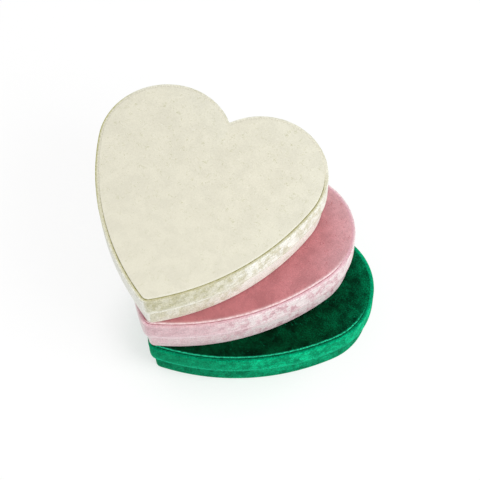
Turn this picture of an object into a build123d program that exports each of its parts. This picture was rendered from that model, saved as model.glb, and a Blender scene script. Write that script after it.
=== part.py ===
from build123d import *
import math
import os

# Three lidded heart boxes of board wrapped in velvet, stacked and fanned about their tips.
# The middle box points along +Y, from its tip to its notch. The stack stands on z = 0.

# Outline of a lid over its velvet: two lobes, two long side arcs, a tip and a notch
lobe_radius = 56.8
lobe_spacing = 86.4  # between the centres of the two lobes
lobe_rise = 143.5  # from the point where the side arcs would meet, up to the lobe centres
side_radius = 213.0
tip_radius = 9.5
notch_radius = 1.0
sharp_radius = 0.2  # a tip left smaller than this is a plain corner

# Heights of one box
box_height = 50.0
lid_depth = 23.0  # from the top of the lid down to its hem

# Sheets that a box is made of, by thickness
velvet = 0.6
wall_board = 1.5
base_board = 1.5
lid_board = 1.4
panel_card = 0.8
wadding = 1.4
lining = 0.3
sole_sheet = 0.5
glue_line = 0.1

# Fits
lid_clearance = 1.0  # between the lid's lining and the velvet of the base
lid_rest_gap = 0.2  # between the brim of the base and the lid's ceiling
seam_gap = 0.25  # between the top panel and the rim round it
stack_gap = 0.2  # pile between one box and the next
overrun = 1.0  # how far a cut runs past the face that it opens

# Velvet turned over an edge and glued down
skirt_turn_in = 6.0
brim_turn_in = 8.0
panel_turn_under = 9.0
foot_turn_under = 12.0
sole_margin = 3.0  # of turned velvet left showing round the sole

# Roundings of the velvet
rim_round_share = 0.36  # of the rim's width, at each of its two edges
wadding_round_share = 0.5  # of the wadding's thickness
hem_round = 0.5
brim_round = 0.8
foot_round = 0.5
panel_rise = 0.4  # of the top panel above the rim

# How the boxes lie: turned about their tips, and slipped from the middle box's tip
green_turn = -13.3
green_slip_across = 2.3
green_slip_along = 1.3
pink_turn = 0.0
pink_slip_across = 0.0
pink_slip_along = 0.0
cream_turn = 15.3
cream_slip_across = 0.8
cream_slip_along = 0.6

# Layers of a lid, as distances in from its outline
skirt_outer = velvet + glue_line
skirt_inner = skirt_outer + wall_board
skirt_face = skirt_inner + glue_line
skirt_bore = skirt_face + lining
rim_width = skirt_face + velvet
rim_round = rim_round_share * rim_width
panel_inset = rim_width + seam_gap
pad_inset = panel_inset + velvet + glue_line

# Layers of a base, as distances in from the lid's outline
base_inset = skirt_bore + lid_clearance
wall_outer = base_inset + velvet + glue_line
wall_inner = wall_outer + wall_board
wall_face = wall_inner + glue_line
base_bore = wall_face + lining
sole_inset = base_inset + sole_margin

# Levels of a box, from the top of the lid down
rim_level = box_height - panel_rise
wadding_top = box_height - velvet - glue_line
wadding_low = wadding_top - wadding
wadding_round = wadding_round_share * wadding
card_top = wadding_low - glue_line
card_low = card_top - panel_card
panel_low = card_low - glue_line - velvet
lid_board_top = panel_low - glue_line
lid_board_low = lid_board_top - lid_board
ceiling_top = lid_board_low - glue_line
ceiling_low = ceiling_top - lining
brim_level = ceiling_low - lid_rest_gap
hem_level = box_height - lid_depth
lid_lining_low = hem_level + skirt_turn_in + glue_line
base_lining_top = brim_level - brim_turn_in - glue_line

# Levels of a box, from the floor up
foot_level = sole_sheet + glue_line
foot_top = foot_level + velvet
base_board_low = foot_top + glue_line
base_board_top = base_board_low + base_board
floor_low = base_board_top + glue_line
floor_top = floor_low + lining

# Centres of the outline's arcs, with the tip arc's centre as the origin of a box
lobe_across = lobe_spacing / 2
lobe_reach = math.hypot(lobe_across, lobe_rise)
side_along = (side_radius**2 - (side_radius - lobe_radius) ** 2 + lobe_reach**2) / (2 * lobe_reach)
side_aside = math.sqrt(side_radius**2 - side_along**2)
side_across = (side_along * lobe_across - side_aside * lobe_rise) / lobe_reach
side_rise = (side_along * lobe_rise + side_aside * lobe_across) / lobe_reach
tip_rise = side_rise - math.sqrt((side_radius - tip_radius) ** 2 - side_across**2)
notch_rise = lobe_rise + math.sqrt((lobe_radius + notch_radius) ** 2 - lobe_across**2)
tip_centre = Vector(0, 0)
side_centre = Vector(side_across, side_rise - tip_rise)
lobe_centre = Vector(lobe_across, lobe_rise - tip_rise)
notch_centre = Vector(0, notch_rise - tip_rise)


# The point at a radius from a centre, on the line from it through another point
def beyond(centre, through, radius):
    return centre + (through - centre).normalized() * radius


# The same point on the other side of the heart's axis
def mirrored(point):
    return Vector(-point.X, point.Y)


# An anticlockwise arc about a centre, through the middle of its turn
def arc(centre, start, end):
    turns = [math.atan2(point.Y - centre.Y, point.X - centre.X) for point in (start, end)]
    turn = sum(turns) / len(turns)
    middle = centre + Vector(math.cos(turn), math.sin(turn)) * (start - centre).length
    return ThreePointArc(start, middle, end)


# The lid's outline moved inwards. Every arc keeps its centre: the tip, sides and lobes
# lose the inset from their radii, and the notch gains it.
def heart(inset):
    tip = tip_radius - inset
    side = side_radius - inset
    notch = notch_radius + inset
    edges = []
    if tip > sharp_radius:
        tip_end = beyond(side_centre, tip_centre, side)
        edges.append(ThreePointArc(mirrored(tip_end), Vector(0, -tip), tip_end))
    else:
        tip_end = Vector(0, side_centre.Y - math.sqrt(side**2 - side_centre.X**2))
    lobe_end = beyond(side_centre, lobe_centre, side)
    notch_end = beyond(notch_centre, lobe_centre, notch)
    for half_edge in (arc(side_centre, tip_end, lobe_end), arc(lobe_centre, lobe_end, notch_end)):
        edges.append(half_edge)
        edges.append(mirror(half_edge, about=Plane.YZ))
    edges.append(ThreePointArc(notch_end, notch_centre - Vector(0, notch), mirrored(notch_end)))
    return make_face(edges)


# A heart-shaped block between two levels
def block(inset, low, high):
    return extrude(Pos(0, 0, low) * heart(inset), amount=high - low, dir=(0, 0, 1))


# A heart-shaped strip standing on edge between two levels
def strip(outer_inset, inner_inset, low, high):
    return block(outer_inset, low, high) - block(inner_inset, low, high)


def top_edges(solid):
    return solid.faces().sort_by(Axis.Z)[-1].edges()


def low_edges(solid):
    return solid.faces().sort_by(Axis.Z)[0].edges()


# Velvet round the lid's skirt: over the rim and down beside the panel, round the hem and up inside
def lid_skirt_wrap():
    wrap = block(0, hem_level, rim_level)
    wrap = fillet(low_edges(wrap), hem_round)
    wrap -= block(velvet, hem_level + velvet, rim_level - velvet)
    wrap -= block(rim_width, rim_level - velvet, rim_level + overrun)
    wrap -= block(skirt_bore, hem_level - overrun, hem_level + velvet)
    wrap += strip(skirt_face, rim_width, lid_board_top + glue_line, rim_level - velvet)
    wrap += strip(skirt_face, skirt_bore, hem_level + velvet, hem_level + skirt_turn_in)
    return fillet(top_edges(wrap), rim_round)


# Velvet over the padded top panel, turned under its card
def lid_panel_cover():
    cover = block(panel_inset, panel_low, box_height)
    cover = fillet(top_edges(cover), wadding_round + glue_line + velvet)
    hollow = block(panel_inset + velvet, panel_low + velvet, box_height - velvet)
    cover -= fillet(top_edges(hollow), wadding_round + glue_line)
    return cover - block(panel_inset + panel_turn_under, panel_low - overrun, panel_low + velvet)


def lid_panel_wadding():
    pad = block(pad_inset, wadding_low, wadding_top)
    return fillet(top_edges(pad), wadding_round)


# Velvet round the base's wall: over the brim and down inside, and under the foot
def base_wall_wrap():
    wrap = block(base_inset, foot_level, brim_level)
    wrap = fillet(top_edges(wrap), brim_round)
    wrap = fillet(low_edges(wrap), foot_round)
    wrap -= block(base_inset + velvet, foot_top, brim_level - velvet)
    wrap -= block(base_bore, brim_level - velvet, brim_level + overrun)
    wrap -= block(base_inset + foot_turn_under, foot_level - overrun, foot_top)
    return wrap + strip(wall_face, base_bore, brim_level - brim_turn_in, brim_level - velvet)


# The pieces of one box, in the box's own frame: the tip arc about the Z axis, the sole on z = 0
pieces = {
    "base_sole": block(sole_inset, 0, sole_sheet),
    "base_board": block(wall_face, base_board_low, base_board_top),
    "base_wall": strip(wall_outer, wall_inner, base_board_low, brim_level - velvet - glue_line),
    "base_wall_wrap": base_wall_wrap(),
    "base_floor_lining": block(wall_face, floor_low, floor_top),
    "base_wall_lining": strip(wall_face, base_bore, floor_top + glue_line, base_lining_top),
    "lid_board": block(skirt_face, lid_board_low, lid_board_top),
    "lid_skirt": strip(skirt_outer, skirt_inner, hem_level + skirt_outer, rim_level - skirt_outer),
    "lid_skirt_wrap": lid_skirt_wrap(),
    "lid_skirt_lining": strip(skirt_face, skirt_bore, lid_lining_low, ceiling_low - glue_line),
    "lid_ceiling_lining": block(skirt_face, ceiling_low, ceiling_top),
    "lid_panel_card": block(pad_inset, card_low, card_top),
    "lid_panel_wadding": lid_panel_wadding(),
    "lid_panel_cover": lid_panel_cover(),
}

# The stack, from the bottom up
stack_step = box_height + stack_gap
places = {
    "green": Pos(green_slip_across, green_slip_along, 0) * Rot(0, 0, green_turn),
    "pink": Pos(pink_slip_across, pink_slip_along, stack_step) * Rot(0, 0, pink_turn),
    "cream": Pos(cream_slip_across, cream_slip_along, 2 * stack_step) * Rot(0, 0, cream_turn),
}

# The part's origin is on the floor, under the middle of the stack
wraps = [place * pieces["lid_skirt_wrap"] for place in places.values()]
middle = Compound(children=wraps).bounding_box().center()
to_middle = Pos(-middle.X, -middle.Y, 0)

os.makedirs("parts", exist_ok=True)
for colour, place in places.items():
    tip = (to_middle * place).position
    print(f"{colour} tip axis at {tip.X:.4f}, {tip.Y:.4f}, sole at {tip.Z:.4f}")
    for name, piece in pieces.items():
        solid = to_middle * place * piece
        solid.label = f"{colour}_{name}"
        export_step(solid, f"parts/{solid.label}.step")
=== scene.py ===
import math

import bmesh
import bpy
import numpy as np
from mathutils import Matrix, Vector


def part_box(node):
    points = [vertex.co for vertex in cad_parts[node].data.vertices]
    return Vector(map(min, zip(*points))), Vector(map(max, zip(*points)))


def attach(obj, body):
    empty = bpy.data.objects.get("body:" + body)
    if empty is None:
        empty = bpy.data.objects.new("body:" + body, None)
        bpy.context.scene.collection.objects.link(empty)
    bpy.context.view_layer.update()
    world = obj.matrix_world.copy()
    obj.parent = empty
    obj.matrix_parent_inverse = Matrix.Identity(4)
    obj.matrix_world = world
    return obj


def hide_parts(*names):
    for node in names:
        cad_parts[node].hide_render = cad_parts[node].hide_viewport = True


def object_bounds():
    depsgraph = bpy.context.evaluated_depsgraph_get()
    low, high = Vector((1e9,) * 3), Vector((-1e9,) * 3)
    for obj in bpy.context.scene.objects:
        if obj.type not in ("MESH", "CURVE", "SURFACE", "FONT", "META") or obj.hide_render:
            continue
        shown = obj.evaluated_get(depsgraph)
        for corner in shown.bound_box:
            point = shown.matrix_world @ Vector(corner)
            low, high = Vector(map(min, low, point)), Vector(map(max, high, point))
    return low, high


# Three heart boxes covered in velvet, stacked and fanned about their tips: the looks, in metres
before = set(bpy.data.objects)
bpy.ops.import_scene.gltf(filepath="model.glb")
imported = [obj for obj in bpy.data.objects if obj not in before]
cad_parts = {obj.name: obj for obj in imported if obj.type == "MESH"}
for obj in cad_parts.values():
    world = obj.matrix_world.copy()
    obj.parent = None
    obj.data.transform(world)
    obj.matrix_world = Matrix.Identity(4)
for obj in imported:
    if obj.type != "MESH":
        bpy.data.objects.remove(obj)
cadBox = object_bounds()

boxTurns = {"green": -13.3, "pink": 0.0, "cream": 15.3}  # degrees, about the vertical

# Nodes of a box that keep the mesh of their solid, by finish
nodesOfBox = {
    "paper": ("base_sole", "base_floor_lining", "base_wall_lining", "lid_skirt_lining", "lid_ceiling_lining"),
    "greyboard": ("base_board", "base_wall", "lid_board", "lid_skirt"),
    "whiteCard": ("lid_panel_card",),
}


def addObject(name, data):
    made = bpy.data.objects.new(name, data)
    bpy.context.scene.collection.objects.link(made)
    return made


# Camera

photoView = {
    "turn": 40.294,  # degrees round from the front
    "height": 63.82,  # degrees above the floor
    "roll": -2.835,
    "distance": 1.3743,
    "aim": (-0.016113, 0.044342, 0.0),
    "lens": 111.264,  # in mm, as the sensor's width is
    "sensor": 36.0,
}


# Right, up and back of a camera that looks down at the floor from a turn and a height, before any roll
def viewAxes(view):
    turn, height = math.radians(view["turn"]), math.radians(view["height"])
    back = Vector((math.sin(turn) * math.cos(height), -math.cos(turn) * math.cos(height), math.sin(height)))
    right = Vector((math.cos(turn), math.sin(turn), 0))
    return right, back.cross(right), back


def placeCamera(view):
    right, up, back = viewAxes(view)
    roll = math.radians(view["roll"])
    across = right * math.cos(roll) + up * math.sin(roll)
    upward = up * math.cos(roll) - right * math.sin(roll)
    data = bpy.data.cameras.new("photoCamera")
    data.sensor_fit = "HORIZONTAL"
    data.sensor_width = view["sensor"]
    data.lens = view["lens"]
    camera = addObject("photoCamera", data)
    place = Matrix((across, upward, back)).transposed().to_4x4()
    place.translation = Vector(view["aim"]) + back * view["distance"]
    camera.matrix_world = place
    bpy.context.scene.camera = camera


placeCamera(photoView)
print("camera placed")


# Outline of a lid over its velvet

heart = {
    "lobeRadius": 0.0568,
    "lobeSpacing": 0.0864,  # between the centres of the lobes
    "lobeRise": 0.1435,  # from where the side arcs would meet, up to the lobe centres
    "sideRadius": 0.213,
    "tipRadius": 0.0095,
    "notchRadius": 0.001,
    "middleRise": 0.105,  # of the point that the rings of a top close in on
    "steps": (9, 120, 150, 7),  # along half the tip, a side, a lobe and half the notch
}


# Four arcs make the right half: at an angle, a point is centre + turn * (radius - lean * inset), where turn
# is the unit vector at that angle, and lean is 1, but -1 in the notch. The left half is the mirror image.
def heartArcs(shape):
    lobeRadius, sideRadius = shape["lobeRadius"], shape["sideRadius"]
    tipRadius, notchRadius = shape["tipRadius"], shape["notchRadius"]
    lobe = np.array([shape["lobeSpacing"] / 2, shape["lobeRise"]])
    reach = np.hypot(*lobe)
    along = (sideRadius**2 - (sideRadius - lobeRadius) ** 2 + reach**2) / (2 * reach)
    aside = np.sqrt(sideRadius**2 - along**2)
    side = np.array([along * lobe[0] - aside * lobe[1], along * lobe[1] + aside * lobe[0]]) / reach
    tip = np.array([0, side[1] - np.sqrt((sideRadius - tipRadius) ** 2 - side[0] ** 2)])
    notch = np.array([0, lobe[1] + np.sqrt((lobeRadius + notchRadius) ** 2 - lobe[0] ** 2)])
    tipEnd, sideEnd, lobeEnd = (np.arctan2(way[1], way[0]) for way in (tip - side, lobe - side, notch - lobe))
    starts = (-np.pi / 2, tipEnd, sideEnd, lobeEnd - np.pi)
    ends = (tipEnd, sideEnd, lobeEnd, -np.pi / 2)
    last = (False, False, False, True)  # only the last arc keeps its end point
    turns = zip(starts, ends, shape["steps"], last)
    angles = [np.linspace(start, end, count + stop, endpoint=stop) for start, end, count, stop in turns]
    sizes = [len(angle) for angle in angles]
    centre = np.repeat((tip, side, lobe, notch), sizes, axis=0)
    radius = np.repeat((tipRadius, sideRadius, lobeRadius, notchRadius), sizes)
    lean = np.repeat((1, 1, 1, -1), sizes)
    angle = np.concatenate(angles)
    turn = np.stack([np.cos(angle), np.sin(angle)], axis=1)
    place = np.arange(len(angle))
    half = np.sign(place * (len(angle) - 1 - place))  # 1 on the right half, 0 on the axis
    back = slice(-2, 0, -1)  # the left half runs from the notch to the tip, without those two points
    flip = np.array([-1, 1])
    return {
        "centre": np.concatenate([centre, centre[back] * flip]),
        "turn": np.concatenate([turn, turn[back] * flip]),
        "radius": np.concatenate([radius, radius[back]]),
        "lean": np.concatenate([lean, lean[back]]),
        "half": np.concatenate([half, -half[back]]),
        "side": side,
    }


arcs = heartArcs(heart)
outward = arcs["turn"] * arcs["lean"][:, None]


# Outlines at several insets at once, each the same all round or given point by point. Past the tip's radius
# the two sides meet in a corner on the axis.
def ringsAt(insets):
    inset = np.asarray(insets, float)
    inset = inset[:, None] if inset.ndim == 1 else inset
    points = arcs["centre"] + arcs["turn"] * (arcs["radius"] - arcs["lean"] * inset)[..., None]
    corner = arcs["side"][1] - np.sqrt((heart["sideRadius"] - inset) ** 2 - arcs["side"][0] ** 2)
    atTip = np.arange(points.shape[1]) == 0
    past = (points[..., 0] * arcs["half"] < 0) | (atTip & (inset > heart["tipRadius"]))
    points[..., 0] = np.where(past, 0, points[..., 0])
    points[..., 1] = np.where(past, corner, points[..., 1])
    return points


# Rings round the middle of a top: middle + share * (outline at the inset - middle)
def closingRings(insets, shares):
    middle = np.array([0, heart["middleRise"]])
    return middle + (ringsAt(insets) - middle) * shares[:, None, None]


lidRing = ringsAt([0])[0]
stepLengths = np.linalg.norm(np.roll(lidRing, -1, axis=0) - lidRing, axis=1)
alongRing = np.concatenate([[0], np.cumsum(stepLengths)])  # ends at the whole way round
roundLength = alongRing[-1]
fromTip = np.minimum(alongRing[:-1], roundLength - alongRing[:-1])
around = alongRing[:-1] / roundLength * 2 * np.pi  # as an angle


# A box's turn, and the shift that puts its outline where the frame has its lid
def placeOf(colour):
    angle = math.radians(boxTurns[colour])
    turn = np.array([[math.cos(angle), -math.sin(angle)], [math.sin(angle), math.cos(angle)]])
    low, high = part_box(f"{colour}_lid_skirt_wrap")
    ring = lidRing @ turn.T
    middle = np.array((low + high) / 2)[:2]
    return turn, middle - (ring.min(0) + ring.max(0)) / 2


def levelsOf(node):
    low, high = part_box(node)
    return low.z, high.z


# Sections and meshes

fineness = {
    "bends": 6,  # steps round a corner of a section
    "step": 0.0016,  # along its straight runs
    "merge": 1e-7,  # points closer than this are one
}


# A closed section from corners of an inset, a height and a radius, each rounded by an arc, made as a conic:
# (1-f)^2 A + 2 f (1-f) w C + f^2 B over the sum of its weights, with w = cos(half the turn). Long runs
# between the roundings are then divided evenly.
def roundedSection(corners):
    corners = np.asarray(corners, float)
    c, radii = corners[:, :2], corners[:, 2]
    before, after = np.roll(c, 1, axis=0) - c, np.roll(c, -1, axis=0) - c
    before /= np.linalg.norm(before, axis=1)[:, None]
    after /= np.linalg.norm(after, axis=1)[:, None]
    halfTurn = (np.pi - np.arccos(np.clip((before * after).sum(1), -1, 1))) / 2
    cut = (radii * np.tan(halfTurn))[:, None, None]
    f = np.linspace(0, 1, fineness["bends"] + 1)[None, :, None]
    weight = np.cos(halfTurn)[:, None, None]
    a, b = c[:, None] + before[:, None] * cut, c[:, None] + after[:, None] * cut
    parts = (1 - f) ** 2, 2 * f * (1 - f) * weight, f**2
    path = (parts[0] * a + parts[1] * c[:, None] + parts[2] * b) / sum(parts)
    path = path.reshape(-1, 2)
    path = path[np.linalg.norm(path - np.roll(path, 1, axis=0), axis=1) > fineness["merge"]]
    closed = np.vstack([path, path[:1]])
    runs = np.linalg.norm(np.diff(closed, axis=0), axis=1)
    pieces = np.maximum(1, np.round(runs / fineness["step"])).astype(int)
    start = np.repeat(np.arange(len(runs)), pieces)
    share = (np.arange(len(start)) - np.repeat(np.cumsum(pieces) - pieces, pieces)) / pieces[start]
    return closed[start] + (closed[start + 1] - closed[start]) * share[:, None]


# A mesh from a grid of points, rows by columns, closed round the columns. Rows that shrink to a point are
# merged. A mark is a value at each point, for the materials to read.
def meshFromGrid(name, grid, closeRows, marks, strip=None):
    rowCount, columns = grid.shape[:2]
    top = np.arange(rowCount if closeRows else rowCount - 1)
    below, across = (top + 1) % rowCount, np.arange(columns)
    beside = (across + 1) % columns
    corners = [top[:, None] * columns + across, top[:, None] * columns + beside,
               below[:, None] * columns + beside, below[:, None] * columns + across]
    faces = np.stack(corners, axis=-1).reshape(-1, 4)
    points = grid.reshape(-1, 3)
    first, second, third, fourth = (points[faces[:, i]] for i in range(4))
    volume = np.sum(first * np.cross(second, third) + first * np.cross(third, fourth))
    order = slice(None) if volume > 0 else slice(None, None, -1)  # so that the faces point outwards
    mesh = bpy.data.meshes.new(name)
    mesh.from_pydata(points.tolist(), [], faces[:, order].tolist())
    for label, values in marks.items():
        layer = mesh.attributes.new(label, "FLOAT", "POINT")
        whole = np.broadcast_to(values, (rowCount, columns))
        layer.data.foreach_set("value", whole.astype(np.float32).ravel())
    if strip is not None:  # lengths along and across the cut strip, in metres, its ends meeting in one column
        u, v = strip
        uOf = np.stack([u[across], u[across + 1], u[across + 1], u[across]], axis=-1)
        vOf = np.stack([v[top], v[top], v[top + 1], v[top + 1]], axis=-1)
        shape = (len(top), columns, 4)
        uv = np.stack([np.broadcast_to(uOf[None], shape), np.broadcast_to(vOf[:, None], shape)], axis=-1)
        layer = mesh.uv_layers.new(name="strip")
        layer.uv.foreach_set("vector", uv[:, :, order].astype(np.float32).ravel())
    merged = bmesh.new()
    merged.from_mesh(mesh)
    bmesh.ops.remove_doubles(merged, verts=merged.verts, dist=fineness["merge"])
    merged.to_mesh(mesh)
    merged.free()
    mesh.polygons.foreach_set("use_smooth", np.ones(len(mesh.polygons), bool))
    return addObject(name, mesh)


# Rings of a box's outline at their heights, turned and shifted to where the box lies
def placedGrid(colour, rings, heights):
    turn, shift = placeOf(colour)
    flat = rings @ turn.T + shift
    return np.concatenate([flat, np.broadcast_to(heights, flat.shape[:2])[..., None]], axis=-1)


# Gentle waves over a surface: the mean of cosines of m * a + n * b + phase, between -1 and 1
def waves(a, b, turnsA, turnsB, count, seed):
    draw = np.random.default_rng(seed)
    m = draw.integers(turnsA[0], turnsA[1], count)
    n = draw.uniform(turnsB[0], turnsB[1], count)
    phase = draw.uniform(0, 2 * np.pi, count)
    return np.cos(a[..., None] * m + b[..., None] * n + phase).mean(-1)


# 1 on a line and falling off on both sides of it
def bump(distance, width):
    return np.exp(-((distance / width) ** 2))


# 0 up to a low value and 1 from a high one, straight between them
def ramp(value, low, high):
    return np.clip((value - low) / (high - low), 0, 1)


# The same, eased at both ends: s^2 (3 - 2 s)
def eased(value, low, high):
    share = ramp(value, low, high)
    return share * share * (3 - 2 * share)


def between(a, b, share):
    return a + (b - a) * share


# How much an edge faces one way, along the outline: 0 up to a low share of it, 1 from a high share
def facing(colour, way, low, high):
    angle = math.radians(way - boxTurns[colour])
    return eased(outward @ np.array([math.cos(angle), math.sin(angle)]), low, high)


# Seam between a top and the rim round it. Ways are in degrees from +X, here and below.

seamLook = {
    "way": -50.0,  # the way the top's edge faces where its seam lies open
    # of facing that way: shut up to the first, open from the second
    "open": {"cream": (-0.05, 0.4), "pink": (0.4, 0.9), "green": (0.2, 0.65)},
    "ragged": {"cream": 0.3, "pink": 0.35, "green": 0.35},  # how far the pile bridges an open seam in places
    "places": {"turnsA": (40, 130), "turnsB": (0, 1), "count": 14, "seed": 40},  # waves round the box
    "bridges": (-0.25, 0.25),  # values of those waves: open up to the first, bridged from the second
    "shutRound": 0.0002,  # of the top's edge where the seam is shut
    "lip": (0.00023, 0.0002),  # how far the rim then reaches across the gap, and up
    "spread": {"cream": 0.0007, "pink": 0.0004, "green": 0.0008},  # of an open seam's painted shade, out over the rim
}


# How open the seam is, along the outline: its pile is pressed shut on the far side
def seamOpen(colour):
    places = waves(around, 0 * around, **seamLook["places"])
    bridged = seamLook["ragged"][colour] * ramp(places, *seamLook["bridges"])
    return facing(colour, seamLook["way"], *seamLook["open"][colour]) * (1 - bridged)


# Pile on the sides

sidePile = {
    "crushDepth": 0.00014,
    "crushWaves": {"turnsA": (12, 70), "turnsB": (-900.0, 900.0), "count": 16},  # round the box and up it
    "crushGain": 2.0,  # because the mean of many waves is small
    "tightLength": (0.045, 0.11),  # from the tip: smooth up to the first, crushed from the second
    "tightShare": 0.35,  # of the depth where it is smooth
    "leftLightFacing": (-0.25, 0.25),  # of facing left: no painted light up to the first, all of it from the second
    "crushedLeftLight": 0.3,  # of that painted light where the pile is crushed
}

crushed = eased(fromTip, *sidePile["tightLength"])  # how crushed the pile is, along the outline


# A section carried round the outline, with its outer face crushed by a little. Its points may be moved along
# the way, to insets and heights given for each.
def sweptBand(name, colour, section, loose, marks, seed, moved=None):
    inset, height = section.T
    insets, heights = moved or (inset[:, None], height[:, None])
    turns = np.broadcast_to(around, (len(inset), len(around)))
    crush = waves(turns, height[:, None], seed=seed, **sidePile["crushWaves"]) * sidePile["crushGain"]
    depth = sidePile["crushDepth"] * between(sidePile["tightShare"], 1, crushed) * loose[:, None]
    rings = ringsAt(insets) + outward * (crush * depth)[..., None]
    runs = np.linalg.norm(np.roll(section, -1, axis=0) - section, axis=1)
    across = np.concatenate([[0], np.cumsum(runs)])
    # Painted light: sides facing left are made paler, less so where the pile is crushed
    leftLight = ramp(-outward[:, 0], *sidePile["leftLightFacing"]) * between(1, sidePile["crushedLeftLight"], crushed)
    marks = {**marks, "crush": crushed[None], "leftLight": leftLight[None]}
    grid = placedGrid(colour, rings, heights)
    return meshFromGrid(name, grid, True, marks, strip=(alongRing, across)), runs.sum()


# Velvet round the lid's skirt

lidBand = {
    "velvet": 0.0006,
    "rimWidth": 0.0029,
    "rimRound": 0.0006,
    "rimFlange": 0.0033,  # down beside the top panel
    "skirtFace": 0.0023,
    "skirtBore": 0.0026,
    "turnIn": 0.006,
    "hemRound": 0.0005,
    "edgeFade": 0.003,  # from the hem and the rim, over which the crushing starts
    "hemLine": 0.0034,  # width of the painted highlight along the hem
    "hidden": {"cream": 0.6, "pink": 0.6, "green": 0.1},  # of the painted highlight, hidden where the pile is crushed
    "hemShade": {"cream": 0.7, "pink": 0.5, "green": 0.35},  # of the broken painted shade that takes its place
    "shadeWidth": 0.0012,
    "rimFlat": (0.0003, 0.0011),  # insets between which the side's colour turns to the rim's own painted colour
    "grooveDepth": (0.0002, 0.0007),  # below the rim, where the seam's painted shade starts and is full
    "rimEdgeShadeWidth": 0.0009,  # of the line of the seam's painted shade along the rim's outer edge
    "rimEdgeShade": {"cream": 1.2, "pink": 0.1, "green": 0.0},  # of the seam's painted shade in that line
    "rimEdgeShadeFacing": (-140.0, 0.3, 0.85),  # a way, and of facing it: the line is weak up to, strong from
    "rimEdgeShadeRest": 0.2,  # of the line where it is weak
    "rimFrontFacing": (-50.0, 0.2, 0.75),  # the same, for where the rim takes the side's painted colour, not the top's
    "seed": 20,
}


def makeLidBand(colour, band, seed):
    hem, rim = levelsOf(f"{colour}_lid_skirt_wrap")
    velvet, face, bore, width = band["velvet"], band["skirtFace"], band["skirtBore"], band["rimWidth"]
    turned, flange = hem + band["turnIn"], rim - band["rimFlange"]
    rimRound, hemRound = band["rimRound"], band["hemRound"]
    section = roundedSection([
        (0, rim, rimRound), (0, hem, hemRound), (bore, hem, hemRound), (bore, turned, 0), (face, turned, 0),
        (face, hem + velvet, 0), (velvet, hem + velvet, 0), (velvet, rim - velvet, 0),
        (face, rim - velvet, 0), (face, flange, 0), (width, flange, 0), (width, rim, rimRound),
    ])
    inset, height = section.T
    outer = inset < velvet / 2
    inMiddle = ramp(np.minimum(height - hem, rim - height), 0, band["edgeFade"])

    # Along the hem: a painted highlight, and where the pile is crushed a broken painted shade in its place
    hemHighlight = bump(np.hypot(inset, height - hem), band["hemLine"])
    calm = 1 - band["hidden"][colour] * crushed
    hemShade = outer * bump(height - hem, band["shadeWidth"]) * band["hemShade"][colour]

    # On the rim: the painted shade of an open seam, and a line of the same painted shade along its outer edge
    # where the seam is shut
    near = fineness["merge"]
    atRim = height > flange - near
    onRim = height > rim - rimRound + near
    groove = np.where(inset > face, ramp(rim - height, *band["grooveDepth"]), 0)
    groove = np.maximum(groove, onRim * bump(width - inset, seamLook["spread"][colour]))
    opened = seamOpen(colour)
    rimEdgeShade = bump(np.hypot(inset, rim - height), band["rimEdgeShadeWidth"]) * band["rimEdgeShade"][colour]
    rimEdgeShadeShown = between(band["rimEdgeShadeRest"], 1, facing(colour, *band["rimEdgeShadeFacing"]))
    seamShade = (atRim * groove)[:, None] * opened + rimEdgeShade[:, None] * rimEdgeShadeShown * (1 - opened)

    # A shut seam's lip reaches across the gap
    toLip = ramp(inset, face, width) * (height > rim - rimRound - near)
    lipAcross, lipUp = seamLook["lip"]
    insets = inset[:, None] + (toLip * lipAcross)[:, None] * (1 - opened)
    heights = height[:, None] + ((rim + toLip * lipUp - height) * (toLip > 0))[:, None] * (1 - opened)

    # Marks: a painted highlight at the hem, the seam's painted shade, and where the rim takes its painted
    # colours
    marks = {
        "foldHighlight": hemHighlight[:, None] * calm,
        "seamShade": seamShade + hemShade[:, None] * crushed,
        "rim": (atRim * ramp(inset, *band["rimFlat"]))[:, None],
        "front": facing(colour, *band["rimFrontFacing"])[None],
        "low": 0,
    }
    name = f"{colour}_lid_band_velvet"
    piece, girth = sweptBand(name, colour, section, outer * inMiddle, marks, seed, (insets, heights))
    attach(piece, f"{colour}_lid")
    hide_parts(f"{colour}_lid_skirt_wrap")
    return piece


# Velvet round the base's wall

baseBand = {
    "velvet": 0.0006,
    "inset": 0.0036,
    "bore": 0.0062,
    "wallFace": 0.0059,
    "brimRound": 0.0008,
    "turnIn": 0.008,
    "footRound": 0.0005,
    "turnUnder": 0.012,
    "edgeFade": 0.003,  # from the foot and the lid, over which the crushing starts
    "lidGap": 0.001,  # left plain below the lid's hem
    # Painted highlights along the foot and the brim: their widths, then their strengths
    "footLine": 0.0014,
    "brimLine": 0.0008,
    "footGlow": 0.8,
    "brimGlow": 0.5,
    "seed": 30,
}


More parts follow.
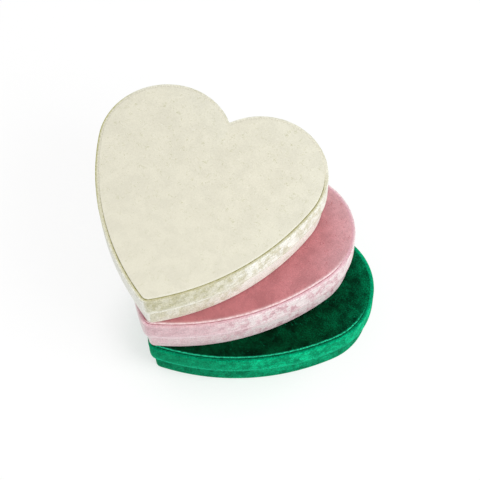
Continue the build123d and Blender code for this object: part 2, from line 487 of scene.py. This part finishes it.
def makeBaseBand(colour, band, seed):
    foot, brim = levelsOf(f"{colour}_base_wall_wrap")
    hem = levelsOf(f"{colour}_lid_skirt_wrap")[0]
    velvet, out, bore, face = band["velvet"], band["inset"], band["bore"], band["wallFace"]
    under, turned = out + band["turnUnder"], brim - band["turnIn"]
    brimRound, footRound = band["brimRound"], band["footRound"]
    section = roundedSection([
        (out, brim, brimRound), (out, foot, footRound), (under, foot, 0), (under, foot + velvet, 0),
        (out + velvet, foot + velvet, 0), (out + velvet, brim - velvet, 0), (face, brim - velvet, 0),
        (face, turned, 0), (bore, turned, 0), (bore, brim, brimRound),
    ])
    inset, height = section.T
    outer = inset < out + velvet / 2
    inMiddle = ramp(np.minimum(height - foot, hem - band["lidGap"] - height), 0, band["edgeFade"])
    # Painted highlights along the foot and the brim
    footHighlight = bump(np.hypot(inset - out, height - foot), band["footLine"]) * band["footGlow"]
    brimHighlight = bump(np.hypot(inset - out, height - brim), band["brimLine"]) * band["brimGlow"]
    marks = {"foldHighlight": (footHighlight + brimHighlight)[:, None], "seamShade": 0, "rim": 0, "front": 0, "low": 1}
    name = f"{colour}_base_band_velvet"
    piece, girth = sweptBand(name, colour, section, outer * inMiddle, marks, seed)
    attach(piece, f"{colour}_base")
    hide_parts(f"{colour}_base_wall_wrap")
    return piece


# Rows of an inset, a height and a share, and how far the first two follow a change of the edge's rounding
def rows(insets, heights, shares=1.0, across=0.0, down=0.0):
    return np.stack(np.broadcast_arrays(insets, heights, shares, across, down), axis=1)


# Velvet over the padded top panel

lidTop = {
    "velvet": 0.0006,
    "inset": 0.00315,
    "edgeRound": 0.0009,
    "edgeBends": 9,
    "lowRound": 0.0003,
    "turnUnder": 0.009,
    "underRows": (0.002, 0.0033),  # in from the edge, under the card
    "flatFrom": 0.0057,  # inset where the rings start to close in on the middle
    "rings": 40,
    "ringPower": 0.8,  # below 1, so that they lie closer towards the edge
    "innerRings": 6,
    "dip": 0.00016,  # of the deepest hollow in the padding
    "hollowLength": 0.2,  # in which each wave makes its number of turns
    "hollows": {"turnsA": (-4, 5), "turnsB": (-5, 5), "count": 18},
    "hollowGain": 1.6,
    "hollowFade": 0.12,  # share of the way in from the flat's edge, over which they start
    "foldHighlightPlace": 0.0007,  # in from the edge to the middle of the painted highlight on the fold
    "foldHighlightWidth": {"cream": 0.0008, "pink": 0.0011, "green": 0.0006},
    "foldHighlightFacing": (-50.0, 0.35, 0.8),  # a way, and of facing it: the painted highlight is dull up to, bright from
    "foldHighlightRest": {"cream": 0.15, "pink": 0.1, "green": 0.03},  # of its brightness where it is dull
    "brushedAndLit": {"cream": 0.028, "pink": 0.024, "green": 0.022},  # width of the lighter band at the edge: pile brushed there, and painted light
    "brushedAndLitFacing": (55.0, 0.0, 0.75),  # a way, and of facing it: no lighter band up to, all of it from
    "smoothRise": (0.05, 0.13),  # up from where the sides would meet: smoothest up to, marked all over from
    "grooveDepth": (0.0005, 0.001),  # below the top, where the seam's painted shade starts and is full
    "seed": 10,
}


# Rings from the middle of the top out to the flat's edge, over the rolled edge, down the side and under the
# card, then back inside the velvet
def makeLidTop(colour, top, seed):
    low, high = levelsOf(f"{colour}_lid_panel_cover")
    velvet, inset, r, flat = top["velvet"], top["inset"], top["edgeRound"], top["flatFrom"]
    bend = np.linspace(0, np.pi / 2, top["edgeBends"])
    sine, cosine = np.sin(bend), np.cos(bend)
    closing = np.linspace(0, 1, top["rings"]) ** top["ringPower"]
    thirds = np.arange(1, 4) / 3
    under = inset + np.array([top["lowRound"], *top["underRows"], top["turnUnder"]])
    outer = [
        rows(flat, high, closing),
        rows(flat + (inset + r - flat) * thirds[:2], high, across=thirds[:2]),
        rows(inset + r - r * sine, high - r + r * cosine, across=1 - sine, down=1 - cosine),
        rows(inset, high - r + (low + top["lowRound"] - high + r) * thirds, down=1 - thirds),
        rows(under, low),
    ]
    inner = [
        rows([under[3], under[2], inset + velvet], low + velvet),
        rows([inset + velvet, inset + velvet + r / 4, inset + r],
             [high - r, high - velvet - r / 4, high - velvet]),
        rows(flat, high - velvet, np.linspace(1, 0, top["innerRings"])),
    ]
    path = np.concatenate(outer + inner)
    shown = np.arange(len(path)) < sum(len(block) for block in outer)
    insets, levels, shares, across, down = path.T
    opened = seamOpen(colour)
    tighter = (seamLook["shutRound"] - r) * (1 - opened)  # change of the edge's rounding, along the outline
    rings = closingRings(insets[:, None] + across[:, None] * tighter, shares)
    turned = rings * 2 * np.pi / top["hollowLength"]
    hollow = waves(turned[..., 0], turned[..., 1], seed=seed, **top["hollows"]) * top["hollowGain"]
    inFlat = ramp(1 - shares, 0, top["hollowFade"]) * shown
    heights = levels[:, None] - down[:, None] * tighter - top["dip"] * (0.5 + 0.5 * hollow) * inFlat[:, None]

    # A painted highlight along the fold, brightest facing one way, and the seam's painted shade
    onEdge = shown & (levels > high - r - fineness["merge"]) & (shares == 1)
    foldHighlight = np.where(onEdge, bump(insets - inset - top["foldHighlightPlace"], top["foldHighlightWidth"][colour]), 0)
    glow = between(top["foldHighlightRest"][colour], 1, facing(colour, *top["foldHighlightFacing"]))
    seamShade = np.where(shown, ramp(high - levels, *top["grooveDepth"]), 1)
    # A lighter band at edges facing one way: partly pile brushed there, partly painted light
    reach = np.linalg.norm(ringsAt([flat])[0] - [0, heart["middleRise"]], axis=1)
    fromEdge = insets[:, None] + (1 - shares[:, None]) * reach
    marks = {
        "foldHighlight": foldHighlight[:, None] * glow,
        "seamShade": seamShade[:, None] * opened,
        "edge": bump(fromEdge, top["brushedAndLit"][colour]) * facing(colour, *top["brushedAndLitFacing"]),
        "smooth": 1 - ramp(rings[..., 1], *top["smoothRise"]),
    }
    piece = meshFromGrid(f"{colour}_lid_top_velvet", placedGrid(colour, rings, heights), False, marks)
    grown = ringsAt([inset - (high - low) - top["turnUnder"]])[0]  # the cut, before its edge was turned under
    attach(piece, f"{colour}_lid")
    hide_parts(f"{colour}_lid_panel_cover")
    return piece


# Wadding under the top's velvet

lidPad = {"inset": 0.00385, "round": 0.0007, "bends": 6, "rings": 12, "fill": 0.5}


# Rings from the middle of its top, over the rounded edge and back to the middle of its underside
def makeLidPad(colour, pad):
    low, high = levelsOf(f"{colour}_lid_panel_wadding")
    inset, r = pad["inset"], pad["round"]
    bend = np.linspace(0, np.pi / 2, pad["bends"])
    closing = np.linspace(0, 1, pad["rings"])
    path = np.concatenate([
        rows(inset + r, high, closing),
        rows(inset + r - r * np.sin(bend), high - r + r * np.cos(bend))[1:],
        rows([inset], low),
        rows(inset + r, low, closing[::-1]),
    ])
    insets, heights, shares = path.T[:3]
    grid = placedGrid(colour, closingRings(insets, shares), heights[:, None])
    piece = meshFromGrid(f"{colour}_lid_wadding_pad", grid, False, {})
    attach(piece, f"{colour}_lid")
    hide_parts(f"{colour}_lid_panel_wadding")
    return piece


# Node helpers

# A colour as it is picked on a screen, 0 to 255, made linear
def paint(red, green, blue):
    c = np.array([red, green, blue]) / 255
    linear = np.where(c <= 0.04045, c / 12.92, ((c + 0.055) / 1.055) ** 2.4)
    return (*linear.tolist(), 1)


# Inputs of a node that are links, and those that are plain values
def feed(tree, made, inputs):
    for key, value in inputs.items():
        if isinstance(value, bpy.types.NodeSocket):
            tree.links.new(value, made.inputs[key])
        else:
            made.inputs[key].default_value = value


def put(tree, kind, inputs=None, **settings):
    made = tree.nodes.new("ShaderNode" + kind)
    for key, value in settings.items():
        setattr(made, key, value)
    feed(tree, made, inputs or {})
    return made


def mathOf(tree, operation, a, b=0.0, c=0.0):
    return put(tree, "Math", {0: a, 1: b, 2: c}, operation=operation).outputs[0]


def mixOf(tree, factor, a, b, blend="MIX"):
    return put(tree, "Mix", {0: factor, 6: a, 7: b}, data_type="RGBA", blend_type=blend).outputs[2]


# A value between two others
def blendOf(tree, share, a, b):
    return put(tree, "Mix", {0: share, 2: a, 3: b}, data_type="FLOAT").outputs[0]


# A value from 0 to 1, taken to low to high
def rangeOf(tree, value, low, high):
    return put(tree, "MapRange", {0: value, 3: low, 4: high}).outputs[0]


# A value stretched so that low becomes 0 and high becomes 1, eased at both ends
def spreadOf(tree, value, low, high):
    return put(tree, "MapRange", {0: value, 1: low, 2: high, 3: 0.0, 4: 1.0},
               interpolation_type="SMOOTHSTEP").outputs[0]


# Noise at a multiple of a base scale
def noiseOf(tree, vector, base, scale=1.0, detail=2.0, rough=0.5, warp=0.0):
    return put(tree, "TexNoise", {"Vector": vector, "Scale": mathOf(tree, "MULTIPLY", base, scale),
                                  "Detail": detail, "Roughness": rough, "Distortion": warp})


# Noise stretched between two of its values
def maskOf(tree, vector, base, edges, **noise):
    return spreadOf(tree, noiseOf(tree, vector, base, **noise).outputs[0], *edges)


# Thin lines, where noise passes the middle of its values
def linesOf(tree, vector, base, width, **noise):
    height = noiseOf(tree, vector, base, **noise).outputs[0]
    return spreadOf(tree, mathOf(tree, "ABSOLUTE", mathOf(tree, "SUBTRACT", height, 0.5)), width, 0.0)


def reliefOf(tree, height, strength, distance):
    return put(tree, "Bump", {"Strength": strength, "Distance": distance, "Height": height}).outputs[0]


def objectPlace(tree):
    return put(tree, "TexCoord").outputs["Object"]


# A group whose first input is Vector, with other inputs and all its outputs as single values
def newGroup(name, values, outputs):
    tree = bpy.data.node_groups.new(name, "ShaderNodeTree")
    tree.interface.new_socket("Vector", in_out="INPUT", socket_type="NodeSocketVector")
    for label, value in values.items():
        socket = tree.interface.new_socket(label, in_out="INPUT", socket_type="NodeSocketFloat")
        socket.default_value = value
    for label in outputs:
        tree.interface.new_socket(label, in_out="OUTPUT", socket_type="NodeSocketFloat")
    return tree, tree.nodes.new("NodeGroupInput").outputs, tree.nodes.new("NodeGroupOutput").inputs


def linkOutputs(tree, outs, results):
    for label, result in results.items():
        tree.links.new(result, outs[label])


def useGroup(tree, group, inputs):
    made = tree.nodes.new("ShaderNodeGroup")
    made.node_tree = group
    feed(tree, made, inputs)
    return made.outputs


def newMaterial(name):
    material = bpy.data.materials.new(name)
    material.use_nodes = True
    material.node_tree.nodes.clear()
    return material, material.node_tree


def finishMaterial(tree, inputs):
    shader = put(tree, "BsdfPrincipled", inputs)
    put(tree, "OutputMaterial", {"Surface": shader.outputs[0]})


# Piles and fibres, as node groups. Noise is scaled by a multiple of a group's own scale, which is per metre.

crushedPile = {
    "patches": 90.0,
    "grain": 800.0,
    "wander": {"scale": 1.7},
    "wanderReach": 0.008,  # how far the patches wander
    "patch": {"detail": 6.0, "rough": 0.74, "edges": (0.37, 0.63)},
    "streak": {"scale": 6.0, "rough": 0.6, "edges": (0.3, 0.7)},
    "streakStretch": (0.16, 1.0, 1.0),  # long along the strip
    "nap": {"rough": 0.7, "edges": (0.3, 0.7)},
    "glint": {"scale": 1.1, "detail": 1.0, "rough": 0.6, "edges": (0.58, 0.72)},
    "catch": {"scale": 0.48, "detail": 3.0, "rough": 0.7, "edges": (0.34, 0.6)},
    "patchHeight": 0.75,
    "napHeight": 0.25,
}


# Pile that lies every way at once, as crushed velvet's does: Tone is how light a patch looks, Streak the thin
# lines along the strip, Nap the grain of the fibres, Glint the tufts that flash, Catch how a bent edge takes
# the light, Height is for a bump
def crushedPileGroup(pile):
    tree, ins, outs = newGroup("crushedPile", {"Patches": pile["patches"], "Grain": pile["grain"]},
                               ("Tone", "Streak", "Nap", "Glint", "Catch", "Height"))
    where, patches, grain = ins["Vector"], ins["Patches"], ins["Grain"]
    wander = noiseOf(tree, where, patches, **pile["wander"]).outputs["Color"]
    offset = put(tree, "VectorMath", {0: wander, 1: (0.5, 0.5, 0.5)}, operation="SUBTRACT").outputs[0]
    moved = put(tree, "VectorMath", {0: offset, 1: (pile["wanderReach"],) * 3, 2: where},
                operation="MULTIPLY_ADD").outputs[0]
    along = put(tree, "Mapping", {"Vector": where, "Scale": pile["streakStretch"]}).outputs[0]
    tone = maskOf(tree, moved, patches, **pile["patch"])
    nap = maskOf(tree, where, grain, **pile["nap"])
    patchHeight = mathOf(tree, "MULTIPLY", tone, pile["patchHeight"])
    linkOutputs(tree, outs, {
        "Tone": tone,
        "Streak": maskOf(tree, along, patches, **pile["streak"]),
        "Nap": nap,
        "Glint": maskOf(tree, moved, grain, **pile["glint"]),
        "Catch": maskOf(tree, where, grain, **pile["catch"]),
        "Height": mathOf(tree, "MULTIPLY_ADD", nap, pile["napHeight"], patchHeight),
    })
    return tree


brushedPile = {
    "clouds": 60.0,
    "grain": 900.0,
    "cloud": {"detail": 4.0, "rough": 0.62, "warp": 0.4, "edges": (0.34, 0.66)},
    "stroke": {"scale": 2.2, "detail": 3.0, "warp": 1.8, "width": 0.025},
    "hair": {"scale": 3.0, "detail": 3.0, "warp": 2.2, "width": 0.025},
    "hairShift": (0.37, 0.21, 0.0),  # so that the hairs don't follow the strokes
    "places": {"scale": 3.0, "edges": (0.48, 0.62)},  # where strokes and hairs show
    "nap": {"rough": 0.7, "edges": (0.3, 0.7)},
    "speck": {"scale": 0.6, "detail": 1.0, "edges": (0.7, 0.78)},
    "catch": {"scale": 0.45, "detail": 3.0, "rough": 0.7, "edges": (0.34, 0.6)},
}


# Pile brushed one way over a flat top: Cloud is a slow change of shade, Stroke the thin marks of brushing,
# Hair the finer ones, Nap the grain of the fibres, Speck a few dots, Catch how a bent edge takes the light
def brushedPileGroup(pile):
    tree, ins, outs = newGroup("brushedPile", {"Clouds": pile["clouds"], "Grain": pile["grain"]},
                               ("Cloud", "Stroke", "Hair", "Nap", "Speck", "Catch"))
    where, clouds, grain = ins["Vector"], ins["Clouds"], ins["Grain"]
    aside = put(tree, "Mapping", {"Vector": where, "Location": pile["hairShift"]}).outputs[0]
    places = maskOf(tree, where, clouds, **pile["places"])
    linkOutputs(tree, outs, {
        "Cloud": maskOf(tree, where, clouds, **pile["cloud"]),
        "Stroke": mathOf(tree, "MULTIPLY", linesOf(tree, where, clouds, **pile["stroke"]), places),
        "Hair": mathOf(tree, "MULTIPLY", linesOf(tree, aside, clouds, **pile["hair"]), places),
        "Nap": maskOf(tree, where, grain, **pile["nap"]),
        "Speck": maskOf(tree, where, grain, **pile["speck"]),
        "Catch": maskOf(tree, where, grain, **pile["catch"]),
    })
    return tree


pressedFibres = {
    "size": 250.0,
    "shade": {"detail": 4.0, "rough": 0.65, "edges": (0.3, 0.7)},
    "fleck": {"scale": 2.5, "detail": 1.0, "warp": 3.0, "width": 0.02},
}


# Fibres in board, paper and wadding: Shade is their slow mottling, Fleck the single fibres that show
def pressedFibresGroup(fibres):
    tree, ins, outs = newGroup("pressedFibres", {"Size": fibres["size"]}, ("Shade", "Fleck"))
    linkOutputs(tree, outs, {
        "Shade": maskOf(tree, ins["Vector"], ins["Size"], **fibres["shade"]),
        "Fleck": linesOf(tree, ins["Vector"], ins["Size"], **fibres["fleck"]),
    })
    return tree


crushedGroup = crushedPileGroup(crushedPile)
brushedGroup = brushedPileGroup(brushedPile)
fibresGroup = pressedFibresGroup(pressedFibres)


# A colour made lighter and darker by the grain, by a share of itself
def grained(tree, colour, grain, share):
    return mixOf(tree, 1.0, colour, rangeOf(tree, grain, 1 - share, 1 + share), "MULTIPLY")


def markOf(tree, name):
    return put(tree, "Attribute", attribute_name=name).outputs["Fac"]


# How much of a mark shows: it is broken up by how its fibres take the light
def brokenMark(tree, name, pile, least):
    mark, taken = markOf(tree, name), rangeOf(tree, pile["Catch"], least, 1.0)
    return put(tree, "Math", {0: mark, 1: taken}, operation="MULTIPLY", use_clamp=True).outputs[0]


# Velvet of the tops

# Pink and green tops are darker than their sides: partly the pile brushed flat where the sides' is crushed,
# partly painted light, as the same velvet looks darker seen from above than aslant
panelVelvets = {
    "cream": {
        "shade": (233, 229, 210), "edge": (234, 231, 213), "stroke": (202, 200, 166), "hair": (246, 243, 228),
        "foldHighlight": (238, 235, 219), "seamShade": (166, 161, 48), "strokes": 0.9, "hairs": 0.7, "cloud": 0.032,
        "nap": 0.045, "specks": 0.2, "whole": 0.5, "sheen": 0.08,
    },
    "pink": {
        "shade": (190, 119, 123), "edge": (208, 158, 164), "stroke": (176, 100, 108), "hair": (206, 146, 150),
        "foldHighlight": (255, 230, 233), "seamShade": (208, 98, 120), "strokes": 0.95, "hairs": 0.7, "cloud": 0.11,
        "nap": 0.11, "specks": 0.1, "whole": 0.6, "sheen": 0.06,
    },
    "green": {
        "shade": (0, 50, 26), "edge": (0, 88, 55), "stroke": (0, 94, 60), "hair": (0, 80, 50),
        "foldHighlight": (45, 218, 162), "seamShade": (0, 30, 15), "strokes": 1.0, "hairs": 0.9, "cloud": 0.66,
        "nap": 0.7, "specks": 0.0, "whole": 0.5, "sheen": 0.0,
    },
}

# The same for all colours
panelFinish = {
    "smoothDetail": 0.45,  # of the marks and the nap that is left where the top is smoothest
    "seamWhole": 0.35,  # of the seam's painted shade where its fibres take the light the least
    "bump": (0.2, 0.0003),  # strength and distance, here and below
    "roughness": (0.85, 1.0),
    "sockets": {"Specular IOR Level": 0.04, "Sheen Roughness": 0.4},
}


def panelVelvet(colour, look):
    material, tree = newMaterial(f"{colour}PanelVelvet")
    paints = {name: paint(*look[name]) for name in ("shade", "edge", "stroke", "hair", "foldHighlight", "seamShade")}
    pile = useGroup(tree, brushedGroup, {"Vector": objectPlace(tree)})
    # Lighter towards edges facing one way: partly pile brushed there, partly painted light
    shade = mixOf(tree, markOf(tree, "edge"), paints["shade"], paints["edge"])
    shade = grained(tree, shade, pile["Cloud"], look["cloud"])
    detail = rangeOf(tree, markOf(tree, "smooth"), 1.0, panelFinish["smoothDetail"])
    drawn = (("Stroke", "strokes", "stroke"), ("Hair", "hairs", "hair"), ("Speck", "specks", "seamShade"))
    for mark, share, paintName in drawn:
        shown = mathOf(tree, "MULTIPLY", mathOf(tree, "MULTIPLY", pile[mark], look[share]), detail)
        shade = mixOf(tree, shown, shade, paints[paintName])
    # Painted highlight along the fold, broken up
    shade = mixOf(tree, brokenMark(tree, "foldHighlight", pile, look["whole"]), shade, paints["foldHighlight"])
    shade = grained(tree, shade, blendOf(tree, detail, 0.5, pile["Nap"]), look["nap"])
    # The seam's painted shade, broken up
    shade = mixOf(tree, brokenMark(tree, "seamShade", pile, panelFinish["seamWhole"]), shade, paints["seamShade"])
    finishMaterial(tree, {
        "Base Color": shade, "Roughness": rangeOf(tree, pile["Nap"], *panelFinish["roughness"]),
        "Normal": reliefOf(tree, pile["Nap"], *panelFinish["bump"]),
        "Sheen Weight": look["sheen"], "Sheen Tint": paints["foldHighlight"], **panelFinish["sockets"],
    })
    return material


# Velvet of the sides, by tone: dark at 0, light at 1. Calm and crushed give a tone and its swing over the
# patches, and low what a base adds to the one and to the other.

sideVelvets = {
    "cream": {
        "dark": (192, 188, 150), "middle": (224, 221, 199), "light": (252, 252, 243), "foldHighlight": (255, 254, 244),
        "seamShade": (166, 161, 48), "rim": (231, 227, 208), "rimFront": (214, 209, 185), "calm": (0.28, 0.42),
        "crushed": (0.72, 0.8), "low": (0.2, 0.28), "leftLight": 0.9, "streak": 0.07, "nap": 0.14, "glint": 0.65,
        "whole": 0.6, "sheen": 0.35,
    },
    "pink": {
        "dark": (198, 146, 156), "middle": (234, 202, 207), "light": (247, 234, 234), "foldHighlight": (255, 236, 240),
        "seamShade": (208, 98, 120), "rim": (214, 163, 174), "rimFront": (230, 192, 202), "calm": (0.38, 0.22),
        "crushed": (0.74, 1.05), "low": (0.2, -0.1), "leftLight": 0.4, "streak": 0.07, "nap": 0.13, "glint": 0.75,
        "whole": 0.35, "sheen": 0.2,
    },
    "green": {
        "dark": (0, 116, 78), "middle": (0, 152, 104), "light": (0, 200, 140), "foldHighlight": (30, 200, 148),
        "seamShade": (0, 52, 29), "rim": (0, 142, 97), "rimFront": (0, 142, 97), "calm": (0.38, 0.35),
        "crushed": (0.64, 0.65), "low": (-0.15, -0.3), "leftLight": 0.1, "streak": 0.1, "nap": 0.38, "glint": 0.5,
        "whole": 0.55, "sheen": 0.0,
    },
}

sideFinish = {
    "stripScale": (1.0, 0.6, 1.0),  # the patches stand tall across the strip
    "middleTones": (0.0, 0.5),  # between which dark turns to middle
    "lightTones": (0.4, 0.95),  # between which that turns to light
    "calmGlint": 0.3,  # of the painted glints where the pile is calm
    "foldHighlightWhole": 0.55,  # of the painted highlight where its fibres take the light the least
    "bump": (0.35, 0.0005),
    "roughness": (0.95, 0.8),
    "sockets": {"Specular IOR Level": 0.05, "Sheen Roughness": 0.35},
}


def sideVelvet(colour, look):
    material, tree = newMaterial(f"{colour}SideVelvet")
    names = ("dark", "middle", "light", "foldHighlight", "seamShade", "rim", "rimFront")
    paints = {name: paint(*look[name]) for name in names}
    strip = put(tree, "UVMap", uv_map="strip").outputs[0]
    laid = put(tree, "Mapping", {"Vector": strip, "Scale": sideFinish["stripScale"]}).outputs[0]
    pile = useGroup(tree, crushedGroup, {"Vector": laid})
    crush = markOf(tree, "crush")

    # The tone of calm pile and of crushed, then painted light on sides facing left, and the change on a base
    patch = mathOf(tree, "SUBTRACT", pile["Tone"], 0.5)
    calm, crumpled = (mathOf(tree, "MULTIPLY_ADD", patch, look[state][1], look[state][0])
                      for state in ("calm", "crushed"))
    tone = blendOf(tree, crush, calm, crumpled)
    tone = mathOf(tree, "MULTIPLY_ADD", markOf(tree, "leftLight"), look["leftLight"], tone)
    tone = mathOf(tree, "MULTIPLY_ADD", markOf(tree, "low"), blendOf(tree, crush, *look["low"]), tone)

    toMiddle = spreadOf(tree, tone, *sideFinish["middleTones"])
    toLight = spreadOf(tree, tone, *sideFinish["lightTones"])
    shade = mixOf(tree, toMiddle, paints["dark"], paints["middle"])
    shade = mixOf(tree, toLight, shade, paints["light"])
    shade = grained(tree, shade, pile["Streak"], look["streak"])
    # Painted glints: specks in the highlight's colour, fewer where the pile is calm
    flash = mathOf(tree, "MULTIPLY", rangeOf(tree, crush, sideFinish["calmGlint"], 1.0), look["glint"])
    shade = mixOf(tree, mathOf(tree, "MULTIPLY", pile["Glint"], flash), shade, paints["foldHighlight"])
    # Painted light: the rim's flat top has its own colour, and at the front one like the side's, as the same
    # velvet looks different facing up and facing aside; cream's front rim is darker, to offset the light its
    # upward face gets
    rim = mixOf(tree, markOf(tree, "front"), paints["rim"], paints["rimFront"])
    shade = mixOf(tree, markOf(tree, "rim"), shade, rim)
    # Painted highlight along folds, broken up
    shade = mixOf(tree, brokenMark(tree, "foldHighlight", pile, sideFinish["foldHighlightWhole"]), shade, paints["foldHighlight"])
    shade = grained(tree, shade, pile["Nap"], look["nap"])
    # The seam's painted shade, broken up
    shade = mixOf(tree, brokenMark(tree, "seamShade", pile, look["whole"]), shade, paints["seamShade"])
    finishMaterial(tree, {
        "Base Color": shade, "Roughness": rangeOf(tree, pile["Tone"], *sideFinish["roughness"]),
        "Normal": reliefOf(tree, pile["Height"], *sideFinish["bump"]),
        "Sheen Weight": look["sheen"], "Sheen Tint": paints["light"], **sideFinish["sockets"],
    })
    return material


# Paper, board and wadding

paper = {
    "shades": {"cream": (240, 236, 222), "pink": (238, 214, 216), "green": (20, 98, 72)},
    "size": 320.0,
    "mottle": 0.05,
    "fleck": 0.03,
    "bump": (0.12, 0.0002),
    "roughness": (0.75, 0.9),
    "specular": 0.3,
}

boards = {
    "shades": {"greyboard": (166, 161, 150), "whiteCard": (229, 226, 217)},
    "flecks": {"greyboard": (120, 116, 108), "whiteCard": (205, 201, 190)},
    "size": 180.0,
    "mottle": 0.08,
    "fleck": 0.5,
    "bump": (0.2, 0.0003),
    "roughness": (0.8, 0.95),
    "specular": 0.25,
}

fleece = {
    "shade": (238, 236, 230),
    "size": 420.0,
    "fleck": 0.06,
    "bump": (0.5, 0.0005),
    "roughness": 0.95,
    "sheen": 0.3,
}


def fibresOf(tree, look):
    return useGroup(tree, fibresGroup, {"Vector": objectPlace(tree), "Size": look["size"]})


def finishPressed(tree, look, fibres, tone):
    finishMaterial(tree, {
        "Base Color": tone, "Roughness": rangeOf(tree, fibres["Shade"], *look["roughness"]),
        "Normal": reliefOf(tree, fibres["Shade"], *look["bump"]), "Specular IOR Level": look["specular"],
    })


def liningPaper(colour, look):
    material, tree = newMaterial(f"{colour}LiningPaper")
    fibres = fibresOf(tree, look)
    tone = grained(tree, paint(*look["shades"][colour]), fibres["Shade"], look["mottle"])
    finishPressed(tree, look, fibres, grained(tree, tone, fibres["Fleck"], look["fleck"]))
    return material


def pressedBoard(name, look):
    material, tree = newMaterial(name)
    fibres = fibresOf(tree, look)
    tone = grained(tree, paint(*look["shades"][name]), fibres["Shade"], look["mottle"])
    flecked = mathOf(tree, "MULTIPLY", fibres["Fleck"], look["fleck"])
    finishPressed(tree, look, fibres, mixOf(tree, flecked, tone, paint(*look["flecks"][name])))
    return material


def waddingFleece(look):
    material, tree = newMaterial("waddingFleece")
    fibres = fibresOf(tree, look)
    finishMaterial(tree, {
        "Base Color": grained(tree, paint(*look["shade"]), fibres["Fleck"], look["fleck"]),
        "Roughness": look["roughness"], "Normal": reliefOf(tree, fibres["Shade"], *look["bump"]),
        "Sheen Weight": look["sheen"],
    })
    return material


def dress(piece, material):
    piece.data.materials.clear()
    piece.data.materials.append(material)


boardFinishes = {name: pressedBoard(name, boards) for name in boards["shades"]}
padFinish = waddingFleece(fleece)
print("boards and wadding finished")
for number, colour in enumerate(boxTurns):
    topVelvet = panelVelvet(colour, panelVelvets[colour])
    bandVelvet = sideVelvet(colour, sideVelvets[colour])
    dress(makeLidPad(colour, lidPad), padFinish)
    dress(makeLidTop(colour, lidTop, lidTop["seed"] + number), topVelvet)
    dress(makeLidBand(colour, lidBand, lidBand["seed"] + number), bandVelvet)
    dress(makeBaseBand(colour, baseBand, baseBand["seed"] + number), bandVelvet)
    finishes = {"paper": liningPaper(colour, paper), **boardFinishes}
    for finish, nodes in nodesOfBox.items():
        for node in nodes:
            dress(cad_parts[f"{colour}_{node}"], finishes[finish])
    print("box dressed:", colour)


# Floor and light

studio = {
    "floorHalf": 3.0,
    "floorDrop": 0.0002,
    "floorShade": 0.9,
    # share of the floor's own shading that the camera sees, and brightness of the white that is the rest
    "nearLook": (0.6, 1.33),
    "farLook": (0.2, 1.055),
    "nearPlace": (0.03, -0.06),  # middle of the near floor, towards the tips
    "farFrom": (0.06, 0.115),  # distances at which the near floor ends and the far floor begins
    "dome": 0.7,
    "sky": 1.0,  # of the dome as the camera sees it
    "keyPlace": (0.85, 0.55, 1.25),  # right of, in front of and above the boxes, as the camera sees them
    "keySize": 0.8,
    "keyPower": 9.5,
}
white = (1, 1, 1, 1)


# What the camera and clear reflections see
def seenRay(tree):
    path = put(tree, "LightPath").outputs
    rays = mathOf(tree, "MAXIMUM", path["Is Camera Ray"], path["Is Glossy Ray"])
    return mathOf(tree, "MAXIMUM", rays, path["Is Transmission Ray"])


def layFloor(look):
    half, low = look["floorHalf"], cadBox[0].z - look["floorDrop"]
    corners = [(-half, -half, low), (half, -half, low), (half, half, low), (-half, half, low)]
    mesh = bpy.data.meshes.new("floor")
    mesh.from_pydata(corners, [], [(0, 1, 2, 3)])
    floor = addObject("floor", mesh)
    material, tree = newMaterial("paleFloor")
    grey = (look["floorShade"],) * 3 + (1,)
    lit = put(tree, "BsdfDiffuse", {"Color": grey}).outputs[0]
    looks = []
    for share, brightness in (look["nearLook"], look["farLook"]):
        clean = put(tree, "Emission", {"Color": white, "Strength": brightness}).outputs[0]
        shown = mathOf(tree, "MULTIPLY", seenRay(tree), 1 - share)
        looks.append(put(tree, "MixShader", {0: shown, 1: lit, 2: clean}).outputs[0])
    spot = (*look["nearPlace"], low)
    away = put(tree, "VectorMath", {0: objectPlace(tree), 1: spot}, operation="DISTANCE").outputs["Value"]
    faded = spreadOf(tree, away, *look["farFrom"])
    surface = put(tree, "MixShader", {0: faded, 1: looks[0], 2: looks[1]}).outputs[0]
    put(tree, "OutputMaterial", {"Surface": surface})
    mesh.materials.append(material)


def hangLights(look):
    world = bpy.data.worlds.new("softDome")
    bpy.context.scene.world = world
    world.use_nodes = True
    tree = world.node_tree
    tree.nodes.clear()
    dome = put(tree, "Background", {"Color": white, "Strength": look["dome"]}).outputs[0]
    seen = put(tree, "Background", {"Color": white, "Strength": look["sky"]}).outputs[0]
    sky = put(tree, "MixShader", {0: seenRay(tree), 1: dome, 2: seen}).outputs[0]
    put(tree, "OutputWorld", {"Surface": sky})
    right = viewAxes(photoView)[0]
    front = right.cross(Vector((0, 0, 1)))
    across, near, above = look["keyPlace"]
    lamp = bpy.data.lights.new("softbox", "AREA")
    lamp.shape = "SQUARE"
    lamp.size = look["keySize"]
    lamp.energy = look["keyPower"]
    way = right * across + front * near + Vector((0, 0, above))
    place = way.to_track_quat("Z", "Y").to_matrix().to_4x4()
    place.translation = way
    addObject("softbox", lamp).matrix_world = place


layFloor(studio)
hangLights(studio)
bpy.context.scene.view_settings.view_transform = "Standard"
print("floor and lights in place")
